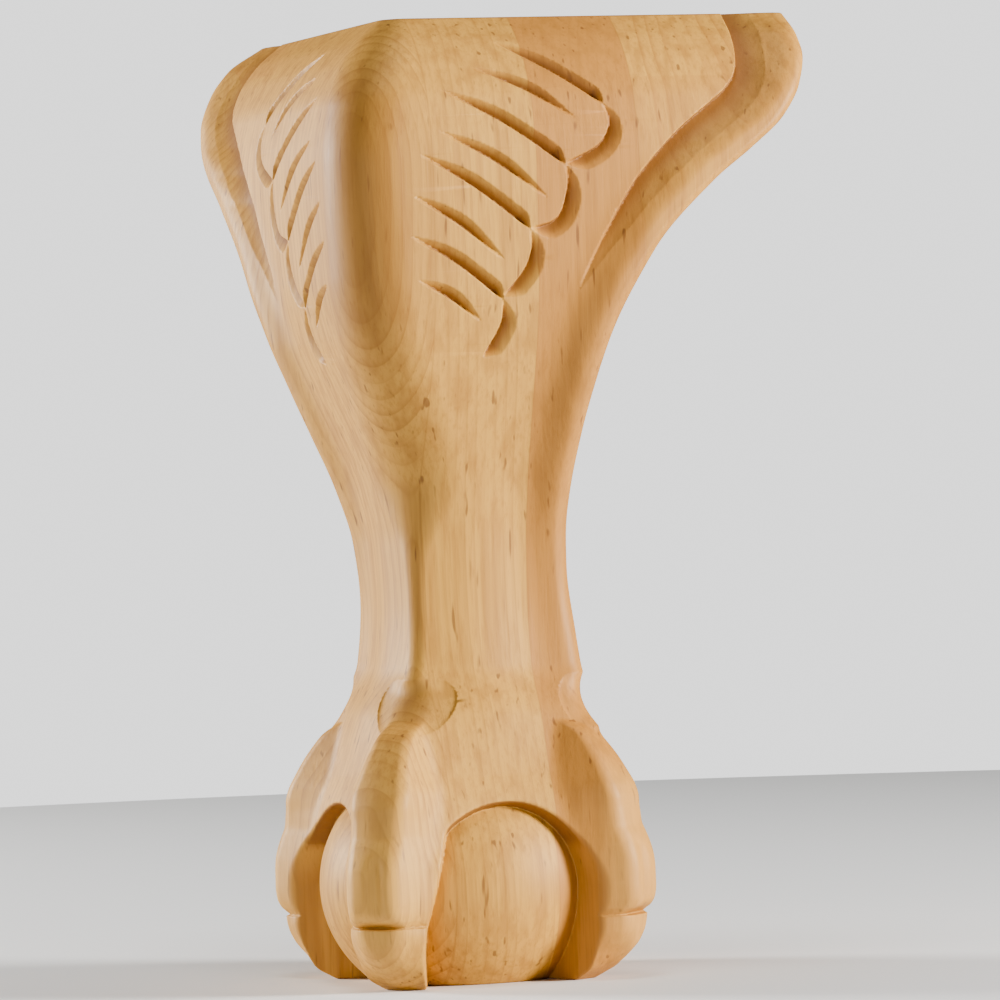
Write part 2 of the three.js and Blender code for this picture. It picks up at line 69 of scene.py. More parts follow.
# Other sizes of the foot, in millimetres
SADDLE_HALF = 8.6
ARCH_RADIUS, ARCH_SHIFT = 29, 1.9
TOE_REACH_DRAWN = 65.2

# Where the boards meet, in millimetres from the ball's centre
KNEE_JOINT, MIDDLE_JOINT, EAR_JOINT = -16.4, 17.8, 52.0
SECOND_EAR_FRONT = -35.5


# Profiles


def profile(knots):
    """A smooth curve through (at, value) knots that never overshoots them, as a function of an array."""
    at = np.array([k[0] for k in knots], float)
    value = np.array([k[1] for k in knots], float)
    step = np.diff(at)
    slope = np.diff(value) / step
    tangent = np.zeros(len(at))
    tangent[0], tangent[-1] = slope[0], slope[-1]
    both = slope[:-1] * slope[1:]
    total = slope[:-1] + slope[1:]
    safe = np.where(both > 0, total, 1.0)
    tangent[1:-1] = np.where(both > 0, 2 * both / safe, 0.0)
    fine = np.linspace(at[0], at[-1], 1200)
    i = np.clip(np.searchsorted(at, fine, side="right") - 1, 0, len(step) - 1)
    t = (fine - at[i]) / step[i]
    curve = (
        value[i] * (1 + 2 * t) * (1 - t) ** 2
        + tangent[i] * step[i] * t * (1 - t) ** 2
        + value[i + 1] * t * t * (3 - 2 * t)
        + tangent[i + 1] * step[i] * t * t * (t - 1)
    )
    return lambda q: np.interp(q, fine, curve)


def smoothstep(low, high, value):
    """Rises from 0 at low to 1 at high, level at both ends."""
    t = np.clip((value - low) / (high - low), 0, 1)
    return t * t * (3 - 2 * t)


def rounded_edge(a, b, radius):
    """The overlap of two half spaces, with its edge rounded."""
    outside = np.hypot(np.maximum(a + radius, 0), np.maximum(b + radius, 0))
    return np.minimum(np.maximum(a, b), -radius) + outside


def soft_max(a, b, width):
    """The larger of two fields, with the meeting line softened over a width."""
    h = np.clip(0.5 + 0.5 * (a - b) / width, 0, 1)
    return b + (a - b) * h + width * h * (1 - h)


def soft_min(a, b, width):
    """The smaller of two fields, softened in the same way."""
    return -soft_max(-a, -b, width)


def shares(low, high, pairs):
    """Knots between two ends, given as (share of the way, share of the change)."""
    return [(low[0] + (high[0] - low[0]) * s, low[1] + (high[1] - low[1]) * v) for s, v in pairs]


# Sizes and colours


class CarvingSizes(bpy.types.PropertyGroup):
    """Sizes of the leg, in metres. The origin is on the floor under the centre of the ball."""

    height: bpy.props.FloatProperty(
        name="Height", description="Floor to the flat top", default=0.305, unit="LENGTH"
    )
    wing_reach: bpy.props.FloatProperty(
        name="Wing reach",
        description="Ball's centre to the end of a wing",
        default=0.112,
        unit="LENGTH",
    )
    post_back: bpy.props.FloatProperty(
        name="Post back",
        description="Ball's centre to the plain back faces",
        default=0.0515,
        unit="LENGTH",
    )
    knee_face: bpy.props.FloatProperty(
        name="Knee",
        description="Ball's centre to the fullest part of a show face",
        default=0.0466,
        unit="LENGTH",
    )
    ankle_face: bpy.props.FloatProperty(
        name="Ankle",
        description="Ball's centre to the ankle's show faces",
        default=0.0207,
        unit="LENGTH",
    )
    face_hollow: bpy.props.FloatProperty(
        name="Face hollow",
        description="How far the wing's edge stands proud of the face",
        default=0.0048,
        unit="LENGTH",
    )
    ball_radius: bpy.props.FloatProperty(
        name="Ball radius", description="Across the ball, halved", default=0.046, unit="LENGTH"
    )
    toe_reach: bpy.props.FloatProperty(
        name="Toe reach",
        description="Ball's centre to the fullest part of a toe",
        default=0.0652,
        unit="LENGTH",
    )
    carving_depth: bpy.props.FloatProperty(
        name="Carving depth",
        description="Depth of the feather and band cuts, before each cut's own share",
        default=0.0022,
        unit="LENGTH",
    )
    grain_size: bpy.props.FloatProperty(
        name="Carving fineness",
        description="Cell size of the carved surface",
        default=0.00062,
        unit="LENGTH",
    )


class MapleColours(bpy.types.PropertyGroup):
    """Colours of the bare maple."""

    pale: bpy.props.FloatVectorProperty(
        name="Pale wood",
        description="Early wood",
        subtype="COLOR",
        size=3,
        default=(0.65, 0.358, 0.085),
    )
    honey: bpy.props.FloatVectorProperty(
        name="Honey wood",
        description="Late wood and growth rings",
        subtype="COLOR",
        size=3,
        default=(0.35, 0.155, 0.034),
    )
    pink: bpy.props.FloatVectorProperty(
        name="Heartwood",
        description="Pinker boards",
        subtype="COLOR",
        size=3,
        default=(0.52, 0.245, 0.06),
    )
    fleck: bpy.props.FloatVectorProperty(
        name="Fleck",
        description="Short dark marks along the grain",
        subtype="COLOR",
        size=3,
        default=(0.16, 0.06, 0.02),
    )
    # Painted light: a paler colour on the toe fronts that stands for light thrown up from the floor
    painted_toe_light: bpy.props.FloatVectorProperty(
        name="Toe fronts",
        description="Paler wood on the toes",
        subtype="COLOR",
        size=3,
        default=(0.78, 0.47, 0.15),
    )
    floor: bpy.props.FloatVectorProperty(
        name="Floor",
        description="Plain studio floor",
        subtype="COLOR",
        size=3,
        default=(0.86, 0.855, 0.84),
    )


# The leg's form, in millimetres


def cut_curve(points, count=40):
    """A smooth curve through [along, height] points, as evenly spaced points."""
    points = np.array(points, float)
    gaps = np.hypot(*np.diff(points, axis=0).T)
    at = np.concatenate([[0], np.cumsum(gaps)])
    where = np.linspace(0, at[-1], count)
    padded = np.vstack([2 * points[0] - points[1], points, 2 * points[-1] - points[-2]])
    i = np.clip(np.searchsorted(at, where, side="right") - 1, 0, len(gaps) - 1)
    t = ((where - at[i]) / gaps[i])[:, None]
    a, b, c, d = (padded[i + k] for k in range(4))
    return 0.5 * (2 * b + (c - a) * t + (2 * a - 5 * b + 4 * c - d) * t**2 + (3 * b - a - 3 * c + d) * t**3)


def fade(t, start, end):
    """A cut's share of its full depth along its length: it rises over start and falls over end."""
    rise = np.sin(np.clip(t / start, 0, 1) * math.pi / 2) if start else 1.0
    fall = np.sin(np.clip((1 - t) / end, 0, 1) * math.pi / 2)
    return rise * fall


class ReliefMap:
    """Depth of the cuts on a show face, over the distance along the face and the height."""

    STEP = 0.25

    def __init__(self, low, high):
        self.low, self.high = low, high
        self.along = np.arange(low[0], high[0], self.STEP)
        self.up = np.arange(low[1], high[1], self.STEP)
        self.depth = np.zeros((len(self.along), len(self.up)))

    def cut(self, points, depth, width, start, end, power, wall=0.45):
        """A relief cut with its steep wall on the curve and a ramp that rises on the curve's left."""
        curve = cut_curve(points)
        margin = width + 1
        box = [
            slice(*np.searchsorted(axis, [curve[:, c].min() - margin, curve[:, c].max() + margin]))
            for c, axis in ((0, self.along), (1, self.up))
        ]
        grid = np.stack(np.meshgrid(self.along[box[0]], self.up[box[1]], indexing="ij"), -1)
        best = np.full(grid.shape[:2], 1e9)
        share = np.zeros(grid.shape[:2])
        side = np.zeros(grid.shape[:2])
        count = len(curve) - 1
        for k in range(count):
            start_point, run = curve[k], curve[k + 1] - curve[k]
            offset = grid - start_point
            t = np.clip((offset @ run) / (run @ run), 0, 1)
            away = offset - t[..., None] * run
            distance = np.hypot(away[..., 0], away[..., 1])
            closer = distance < best
            cross = run[0] * offset[..., 1] - run[1] * offset[..., 0]
            best = np.where(closer, distance, best)
            share = np.where(closer, (k + t) / count, share)
            side = np.where(closer, np.sign(cross), side)
        signed = best * side
        size = fade(share, start, end)
        reach = np.maximum(width * size, 0.05)
        ramp = np.clip(1 - signed / reach, 0, 1) ** power
        face = np.clip(1 + signed / wall, 0, 1)
        cut = depth * size * np.where(signed > 0, ramp, face)
        ends = ((share <= 0) | (share >= 1)) & (best > wall)
        cut = np.where(ends, cut * np.clip(1 - (best - wall) / 1.0, 0, 1), cut)
        area = self.depth[box[0], box[1]]
        np.maximum(area, cut, out=area)

    def at(self, along, up):
        """The depth at each point, read between the map's own points."""
        u = np.clip((along - self.low[0]) / self.STEP, 0, len(self.along) - 1.001)
        v = np.clip((up - self.low[1]) / self.STEP, 0, len(self.up) - 1.001)
        i, j = u.astype(int), v.astype(int)
        s, t = u - i, v - j
        d = self.depth
        near = d[i, j] * (1 - t) + d[i, j + 1] * t
        far = d[i + 1, j] * (1 - t) + d[i + 1, j + 1] * t
        return near * (1 - s) + far * s


class LegForm:
    """The carved leg as a field that is negative inside the wood."""

    def __init__(self, sizes):
        self.height = sizes.height / MM
        self.post_back = sizes.post_back / MM
        self.hollow_depth = sizes.face_hollow / MM
        self.ball_radius = sizes.ball_radius / MM
        self.cut_depth = sizes.carving_depth / MM
        top, knee = (self.height, 22.6), (self.height - 46, sizes.knee_face / MM)
        ankle, hood = (120, sizes.ankle_face / MM), (HOOD_EDGE + 0.5, 40.6)
        reach = sizes.wing_reach / MM
        web = [(-5, self.ball_radius + 0.5), (37.5, self.ball_radius + 0.5), (45.5, 43.8), hood]
        self.face = profile(
            web
            + shares(hood, ankle, [(0.175, 0.22), (0.43, 0.51), (0.7, 0.92)])
            + [ankle]
            + shares(
                ankle,
                knee,
                [(0.14, 0.03), (0.26, 0.16), (0.39, 0.4), (0.51, 0.63), (0.62, 0.82), (0.75, 0.94)],
            )
            + [knee]
            + shares(knee, top, [(0.4, 0.12), (0.65, 0.34), (0.83, 0.61)])
            + [top]
        )
        waist, tip = (143, 32.3), (self.height - 12, reach)
        self.back = profile(
            web
            + shares(hood, waist, [(0.38, 0.45), (0.62, 0.69), (0.85, 0.96)])
            + [waist]
            + shares(
                waist,
                tip,
                [(0.18, 0.03), (0.38, 0.11), (0.58, 0.305), (0.72, 0.56)]
                + [(0.785, 0.72), (0.85, 0.865), (0.92, 0.953)],
            )
            + [tip, (self.height + 5, reach)]
        )
        self.ridge_round = profile(
            [(76, 5), (83, 8.5), (91, 9), (99, 4.3), (120, 4), (134, 5), (146, 11), (158, 20), (175, 24)]
            + [(206, 21), (264, 19), (self.height - 14, 18), (self.height, 8)]
        )
        self.side_round = profile([(110, 6), (163, 6), (188, 4.5)])
        self.hollow = profile(
            [(57, 0), (120, 0.28), (162, 0.9), (182, 1), (self.height - 8, 0.92), (self.height, 0.3)]
        )
        self.crown = profile([(66, 0), (96, 1), (140, 1), (178, 0), (300, 0)])
        self.corner_fall = profile([(90, 0), (106, 1), (140, 1), (178, 0), (300, 0)])
        toe = sizes.toe_reach / MM - TOE_REACH_DRAWN
        self.crest = profile(
            [(-5, 41), (0, 47), (3, 52), (6, 55.5), (9, 58), (12, 60), (16, 61.3), (20.2, 61.7), (20.6, 60.6)]
            + [(21.6, 61.6), (23, 63.2), (26, 64.6 + toe), (30, 65.2 + toe), (34, 65.3 + toe), (38, 65 + toe)]
            + [(42, 64), (46, 62.4), (49, 61.1), (52, 60.7), (55, 60.3), (57, 60.2), (61, 59), (65, 56.8)]
            + [(70, 53.8), (75, 50), (78.5, 46.8), (81, 42.8), (83, 38), (85, 33), (99, 20)]
        )
        self.crest_half = profile(
            [(-5, 1.2), (0, 1.4), (3, 3.2), (6, 4.7), (12, 6.9), (18.6, 8.6), (31, 9), (50, 9), (61, 9.6)]
            + [(70, 8), (79, 6.4), (90, 5)]
        )
        self.flank = profile(
            [(-5, 3.4), (3, 3.4), (6, 2.0), (10.6, 1.1), (18.6, 0.76), (24, 0.56), (31, 0.51), (42, 0.45)]
            + [(50.4, 0.43), (60, 0.3), (69, 0.24), (90, 0.22)]
        )
        self.beside_toe = profile([(-5, 18), (0, 16), (15, 12), (37, 0.5), (60, 0.5)])
        self.window_side = profile(
            [(-5, 27), (0, 27.5), (5, 28.2), (11, 28.6), (18.6, 28), (24, 26.4), (31, 24.3), (35, 23)]
            + [(42, 20.8), (50.4, 18.6), (60, 18)]
        )
        self.lip = profile(
            [(-5, 40), (3, 41), (11, 45), (18, 47), (31, 46.3), (42, 43.5), (50, 41), (60, 40.6)]
        )
        self.relief = self.carve_relief()

    def carve_relief(self):
        """The feathers and the wing's band, each as (distance along the face, drop from the top)."""
        relief = ReliefMap((-40, 170), (118, 309))
        top, depth = self.height, self.cut_depth
        feathers = [
            ((8.7, 8), (25, 17.6), (41.6, 29)),
            ((-11.7, 23.6), (8, 34.5), (27.4, 48)),
            ((-20.4, 43.9), (-2.5, 54.6), (15.3, 68)),
            ((-24.2, 69.2), (-9.2, 78), (6, 89.7)),
        ]
        quills = [
            ((-0.1, 16.6), (16, 24), (31.7, 33.4)),
            ((-13.4, 36.8), (4, 46.4), (21.3, 58.3)),
            ((-23.1, 56.7), (-8.4, 65.8), (6.4, 77.3)),
            ((-21.9, 83.1), (-11.6, 88.8), (-1.1, 96.3)),
        ]
        scallops = [
            ((41.6, 29), (43.2, 35.8), (38.7, 42.7), (27.6, 48.1)),
            ((27.6, 48.1), (28.3, 54.4), (26.4, 62.1), (22.9, 66.2), (15.5, 68.1)),
            ((15.1, 68.1), (16, 73), (14.6, 78.6), (11.5, 83.3), (6.1, 89.1)),
            ((6.1, 89.8), (6.3, 95.7), (4.5, 100.5), (0.2, 107.7)),
        ]
        band = [(91, -4), (91, 0), (90.2, 12), (87.9, 20.2), (83.3, 25.7), (77.5, 30), (64.8, 39.5)]
        band += [(52, 52.5), (42.8, 66), (35.7, 78.1), (30.7, 88.3)]

        def points(curve):
            return [(along, top - drop) for along, drop in curve]

        for feather in feathers:
            relief.cut(points(feather), 1.35 * depth, 3.5, 0.5, 0.12, power=0.9)
        for quill in quills:
            relief.cut(points(quill), 1.25 * depth, 3.2, 0.5, 0.5, power=0.9)
        for scallop in scallops:
            relief.cut(points(scallop), 1.35 * depth, 4.8, 0.45, 0.25, wall=0.6, power=1.0)
        relief.cut(points(band), 1.3 * depth, 8.5, 0, 0.55, wall=0.7, power=0.9)
        return relief

    def face_out(self, along, z):
        """How far a show face stands out: it swells at the ankle's middle and rises to the wing's edge."""
        back, face = self.back(z), self.face(z)
        rise = (self.back(z + 1) - self.back(z - 1)) / 2
        from_edge = np.maximum(0, (back - along) / np.hypot(1, rise) - 5)
        edge = np.exp(-((from_edge / 7.5) ** 2))
        swell = 1.8 * self.crown(z) * np.exp(-(((along - 2) / 14) ** 2))
        fall = 0.0035 * self.corner_fall(z) * np.clip(-along, 0, 26) ** 2
        return face + self.hollow_depth * self.hollow(z) * edge + swell - fall

    def show_face(self, along, out, z):
        """Signed distance past the carved show face."""
        surface = self.face_out(along, z)
        near = (np.abs(out - surface) < 9) & (z > CUTS_FROM)
        cut = np.zeros_like(surface)
        cut[near] = self.relief.at(along[near], z[near])
        low = (z > SADDLE_FROM) & (z < SADDLE_TO)
        cut[low] = self.cut_round_toes(along[low], z[low])
        return out - surface + cut

    def painted_shade_depth(self, points):
        """How deep each point on the surface lies in the carving of a show face, with a smaller share in the
        saddles; the material paints shade by this depth.
        """
        x, y, z = points.T
        total = np.zeros(len(x))
        for along, out in ((x, -y), (y, -x)):
            depth = self.relief.at(along, z)
            on_face = np.abs(out - self.face_out(along, z) + depth) < 1
            total = np.maximum(total, depth * on_face * (z > CUTS_FROM))
        # The saddles round the toe tops get a smaller share of the painted shade
        toe_tops = (np.minimum(x, y) < 0) & (z > SADDLE_FROM) & (z < SADDLE_TO)
        return total + 0.45 * toe_tops * self.cut_round_toes(np.maximum(x, y), z)

    def slope(self, points, reach):
        """The field's slope at each point."""
        steps = reach * np.eye(3)
        return np.stack([(self(points + step) - self(points - step)) / (2 * reach) for step in steps], 1)

    def shin(self, x, y, z, face_x, face_y):
        """The post from the knee down to the hood, with each corner rounded by its own amount."""
        back = np.minimum(self.back(z), self.post_back)
        across_x = np.where(x < 0, face_x, x - back + self.cut_round_toes(y, z))
        across_y = np.where(y < 0, face_y, y - back + self.cut_round_toes(x, z))
        front, rear = (x < 0) & (y < 0), (x > 0) & (y > 0)
        side = self.side_round(z)
        radius = np.where(front, self.ridge_round(z), np.where(rear, np.maximum(3, side - 1), side))
        return rounded_edge(across_x, across_y, radius)

    def wing(self, along, behind, z, face):
        """An ear: its outline, its show face and its plain back."""
        outline = np.maximum(along - self.back(z), -along)
        front = rounded_edge(outline, face, 4.5)
        return np.maximum(front, rounded_edge(outline, behind, 2.0))

    def toes(self, x, y, z):
        """The four toes, which point to the corners and grow wider towards the ball."""
        out = (np.abs(x) + np.abs(y)) * SQRT_HALF
        across = (np.abs(y) - np.abs(x)) * SQRT_HALF
        aside = np.abs(across)
        crest, flare = self.crest(z), self.flank(z)
        pad = smoothstep(22, 28, z) * (1 - smoothstep(38, 46, z))
        valley = 1.1 * np.exp(-(((across - 2) / 2.6) ** 2)) * pad
        crown = 0.012 * aside**2 * smoothstep(24, 34, z) + 0.006 * aside**2
        rise = np.where(z < NAIL_LINE, 0.25, 2.4)
        notch = 1.7 * np.exp(-(((z - NAIL_LINE) / rise) ** 2)) * np.clip(1 - (aside / 9.3) ** 2, 0, 1)
        top = out - crest + valley + crown + notch - 0.4
        side = (aside - self.crest_half(z) - flare * (crest - 2 - out)) / np.hypot(1, flare)
        return rounded_edge(top, side, 2.4)

    def saddle(self, from_corner, z, reach, depth, corner):
        """Depth of the saddle, the hollow round the top of a toe, along one face from its corner."""
        end = np.maximum(0, from_corner / reach - 0.45) / 0.55
        share = np.clip(1 - ((z - SADDLE_MIDDLE) / SADDLE_HALF) ** 2 - end**2, 0, 1)
        deeper = corner * np.clip(1 - from_corner / 10, 0, 1) ** 1.5
        return (depth + deeper) * share ** np.maximum(0.5, 1.2 - 0.7 * end)

    def cut_round_toes(self, along, z):
        """Depth of the saddles on a face that runs from the front or back corner to a side corner."""
        return np.maximum(
            self.saddle(along + self.face(z), z, 18.5, 2.1, 2.0),
            self.saddle(self.back(z) - along, z, 12.0, 1.2, 0.0),
        )

    def ball(self, x, y, z):
        """The ball, a little flatter than round."""
        level = np.clip(1 - ((z - BALL_MIDDLE) / 41.0) ** 2, 0, None)
        return np.hypot(x, y) - self.ball_radius * np.sqrt(level)

    def window(self, along, out, z, full_toe):
        """One arched opening, negative where wood is taken away.

        The toe on the side that full_toe points to keeps a broad flank.
        """
        near = self.window_side(z) + 0.3 * np.minimum(out - self.lip(z), 4)
        turn = np.clip(-full_toe * along / ARCH_RADIUS, 0, 1) ** 2
        slope = (0.35 + 0.5 * turn) * (out - 41 - 7.4 * turn)
        from_middle = np.hypot(along + ARCH_SHIFT * full_toe, np.maximum(z - ARCH_MIDDLE, 0))
        arch = from_middle - ARCH_RADIUS - slope
        opening = soft_max(full_toe * along - near, arch, 1.2)
        return np.maximum(opening, 20 - out)

    def __call__(self, points):
        """The whole leg's field: the post and its wings, the toes, windows and ball, then the flat ends."""
        x, y, z = points.T
        face_y, face_x = self.show_face(x, -y, z), self.show_face(y, -x, z)
        body = self.shin(x, y, z, face_x, face_y)
        high = z > WINGS_FROM
        wings = np.full(len(x), 99.0)
        xh, yh, zh = x[high], y[high], z[high]
        wings[high] = np.minimum(self.wing(xh, yh, zh, face_y[high]), self.wing(yh, xh, zh, face_x[high]))
        body = np.minimum(body, wings)
        low = z < FOOT_TOP
        xl, yl, zl = x[low], y[low], z[low]
        foot = body[low]
        out = (np.abs(xl) + np.abs(yl)) * SQRT_HALF
        limit = np.where(zl < HOOD_EDGE, out - self.crest(zl) + self.beside_toe(zl), -99)
        foot = np.maximum(foot, limit)
        foot = soft_min(foot, self.toes(xl, yl, zl), 1.2)
        window = np.minimum(
            np.minimum(self.window(xl, -yl, zl, -1), self.window(xl, yl, zl, 1)),
            np.minimum(self.window(yl, -xl, zl, -1), self.window(yl, xl, zl, 1)),
        )
        foot = soft_max(foot, -window, 1.3)
        foot = soft_min(foot, self.ball(xl, yl, zl), 0.6)
        body[low] = foot
        body = rounded_edge(body, -z, 0.5)
        return rounded_edge(body, z - self.height, 0.4)


# The surface of a form


def surface_of(form, low, high, cell):
    """Finds a form's surface as quads, on a grid of cells that is only worked out near the surface."""
    block = 5
    low, high = np.array(low, float), np.array(high, float)
    counts = np.ceil((high - low) / (cell * block)).astype(int)
    index = np.stack(np.meshgrid(*[np.arange(n) for n in counts], indexing="ij"), -1).reshape(-1, 3)
    size = cell * block

    # The blocks of cells that the surface may cross
    middle = form(low + (index + 0.5) * size)
    half_diagonal, slack = 0.87 * size, 3.0
    index = index[np.abs(middle) < half_diagonal * 1.5 + slack]
    span = counts * block + 2

    def key_of(cells):
        return (cells[:, 0] * span[1] + cells[:, 1]) * span[2] + cells[:, 2]

    local = np.stack(np.meshgrid(*[np.arange(block)] * 3, indexing="ij"), -1).reshape(-1, 3)
    cells = (index[:, None] * block + local[None]).reshape(-1, 3)
    corner = np.stack(np.meshgrid(*[np.arange(2)] * 3, indexing="ij"), -1).reshape(-1, 3)
    cell_keys = key_of(cells)
    steps = key_of(corner)
    axis_steps = steps[[4, 2, 1]]

    # The field at each corner of those cells
    node_keys = np.unique((cell_keys[:, None] + steps[None]).ravel())
    k = node_keys % span[2]
    j = (node_keys // span[2]) % span[1]
    i = node_keys // (span[2] * span[1])
    nodes = low + np.stack([i, j, k], 1) * cell
    value = np.concatenate([form(part) for part in np.array_split(nodes, max(1, len(nodes) // BATCH))])
    inside = value < 0

    # One vertex in each crossed cell, amid the places where its edges are crossed
    order = np.argsort(cell_keys)
    cell_keys, cells = cell_keys[order], cells[order]
    at = np.searchsorted(node_keys, cell_keys[:, None] + steps[None])
    corner_inside = inside[at]
    crossed = corner_inside.any(1) & ~corner_inside.all(1)
    cell_keys, cells, at = cell_keys[crossed], cells[crossed], at[crossed]
    corner_value = value[at]
    total = np.zeros((len(cells), 3))
    hits = np.zeros(len(cells))
    pairs = [(a, b) for a in range(8) for b in range(8) if np.abs(corner[a] - corner[b]).sum() == 1 and a < b]
    for a, b in pairs:
        va, vb = corner_value[:, a], corner_value[:, b]
        cut = (va < 0) != (vb < 0)
        t = np.where(cut, va / np.where(cut, va - vb, 1), 0)
        total += np.where(cut[:, None], corner[a] + t[:, None] * (corner[b] - corner[a]), 0)
        hits += cut
    centre = low + (cells + 0.5) * cell
    vertices = low + (cells + total / hits[:, None]) * cell
    vertices = settle(form, vertices, centre, cell)

    # One quad round each crossed edge of the grid
    quads = []
    for axis in range(3):
        step, u, v = np.roll(axis_steps, -axis)
        far = np.searchsorted(node_keys, node_keys + step)
        far = np.minimum(far, len(node_keys) - 1)
        has = node_keys[far] == node_keys + step
        cut = has & (inside != inside[far])
        base = node_keys[cut]
        out = inside[cut]
        ring = np.stack([base, base - u, base - u - v, base - v], 1)
        found = np.searchsorted(cell_keys, ring)
        found = np.minimum(found, len(cell_keys) - 1)
        good = (cell_keys[found] == ring).all(1)
        faces = found[good]
        faces[~out[good]] = faces[~out[good]][:, ::-1]
        quads.append(faces)
    return vertices, np.vstack(quads)


def settle(form, vertices, centre, cell):
    """Moves each vertex onto the surface along the field's slope, and keeps it within its own cell."""
    for _ in range(3):
        value, slope = form(vertices), form.slope(vertices, 0.25 * cell)
        length = np.maximum((slope**2).sum(1), 0.25)
        move = -(value / length)[:, None] * slope
        vertices = np.clip(vertices + move, centre - 0.6 * cell, centre + 0.6 * cell)
    return vertices


def mesh_object(name, vertices, faces):
    """A smoothly shaded mesh object from vertices in metres and quads."""
    mesh = bpy.data.meshes.new(name)
    mesh.vertices.add(len(vertices))
    mesh.vertices.foreach_set("co", np.asarray(vertices, np.float32).ravel())
    corners = faces.shape[1]
    mesh.loops.add(faces.size)
    mesh.loops.foreach_set("vertex_index", faces.astype(np.int32).ravel())
    mesh.polygons.add(len(faces))
    mesh.polygons.foreach_set("loop_start", np.arange(0, faces.size, corners, dtype=np.int32))
    mesh.polygons.foreach_set("use_smooth", np.full(len(faces), True))
    mesh.update(calc_edges=True)
    mesh.validate()
    obj = bpy.data.objects.new(name, mesh)
    bpy.context.collection.objects.link(obj)
    return obj


def lighten(obj, triangles):
    """Reduces a mesh to a number of triangles, keeping its detail."""
    modifier = obj.modifiers.new("lighten", "DECIMATE")
    modifier.ratio = min(1, triangles / (2 * len(obj.data.polygons)))
    graph = bpy.context.evaluated_depsgraph_get()
    lighter = bpy.data.meshes.new_from_object(obj.evaluated_get(graph))
    obj.modifiers.clear()
    old, obj.data = obj.data, lighter
    bpy.data.meshes.remove(old)


# Materials


class Socket:
    """An output of a node that takes part in arithmetic."""

    def __init__(self, paint, link):
        self.paint, self.link = paint, link

    def __add__(self, other):
        return self.paint.maths("ADD", self, other)

    def __radd__(self, other):
        return self.paint.maths("ADD", other, self)

    def __sub__(self, other):
        return self.paint.maths("SUBTRACT", self, other)

    def __rsub__(self, other):
        return self.paint.maths("SUBTRACT", other, self)

    def __mul__(self, other):
        return self.paint.maths("MULTIPLY", self, other)

    def __rmul__(self, other):
        return self.paint.maths("MULTIPLY", other, self)

    def __truediv__(self, other):
        return self.paint.maths("DIVIDE", self, other)

    def __rtruediv__(self, other):
        return self.paint.maths("DIVIDE", other, self)

    def __pow__(self, other):
        return self.paint.maths("POWER", self, other)

    def __rpow__(self, other):
        return self.paint.maths("POWER", other, self)

    def __abs__(self):
        return self.paint.maths("ABSOLUTE", self)

    def __gt__(self, other):
        return self.paint.maths("GREATER_THAN", self, other)

    def __lt__(self, other):
        return self.paint.maths("LESS_THAN", self, other)


class Paint:
    """Builds a material's nodes."""

    def __init__(self, name):
        self.material = bpy.data.materials.new(name)
        self.material.use_nodes = True
        self.tree = self.material.node_tree
        self.shader = next(n for n in self.tree.nodes if n.type == "BSDF_PRINCIPLED")

    def node(self, kind, settings, sockets, output=0):
        """Adds a node: its settings first, then its sockets' values or links. Returns one of its outputs."""
        made = self.tree.nodes.new(kind)
        for key, value in settings.items():
            setattr(made, key, value)
        for key, value in sockets.items():
            self.feed(made.inputs[key], value)
        return Socket(self, made.outputs[output])

    def feed(self, socket, value):
        """Gives an input a link, a number or a colour."""
        if isinstance(value, Socket):
            self.tree.links.new(value.link, socket)
        else:
            socket.default_value = (*value, 1.0) if socket.type == "RGBA" else value

    def maths(self, operation, *values):
        return self.node("ShaderNodeMath", {"operation": operation}, dict(enumerate(values)))

    def remap(self, value, low, high):
        """Rises smoothly from 0 at low to 1 at high."""
        sockets = {0: value, 1: low, 2: high, 3: 0.0, 4: 1.0}
        return self.node("ShaderNodeMapRange", {"interpolation_type": "SMOOTHSTEP"}, sockets)

    def mix(self, factor, a, b):
        """Goes from the colour a to the colour b as the factor goes from 0 to 1."""
        return self.node("ShaderNodeMix", {"data_type": "RGBA"}, {0: factor, 6: a, 7: b}, output=2)

    def noise(self, vector, scale, detail=2.0, roughness=0.5):
        sockets = {"Vector": vector, "Scale": scale, "Detail": detail, "Roughness": roughness}
        return self.node("ShaderNodeTexNoise", {"noise_dimensions": "3D"}, sockets)

    def parts(self, vector):
        """The three parts of a vector."""
        split = self.node("ShaderNodeSeparateXYZ", {}, {0: vector})
        return [Socket(self, output) for output in split.link.node.outputs]

    def scaled(self, vector, factors):
        return self.node("ShaderNodeVectorMath", {"operation": "MULTIPLY"}, {0: vector, 1: factors})

    def place(self):
        """Where a point is on the object, in metres."""
        return self.node("ShaderNodeTexCoord", {}, {}, output="Object")


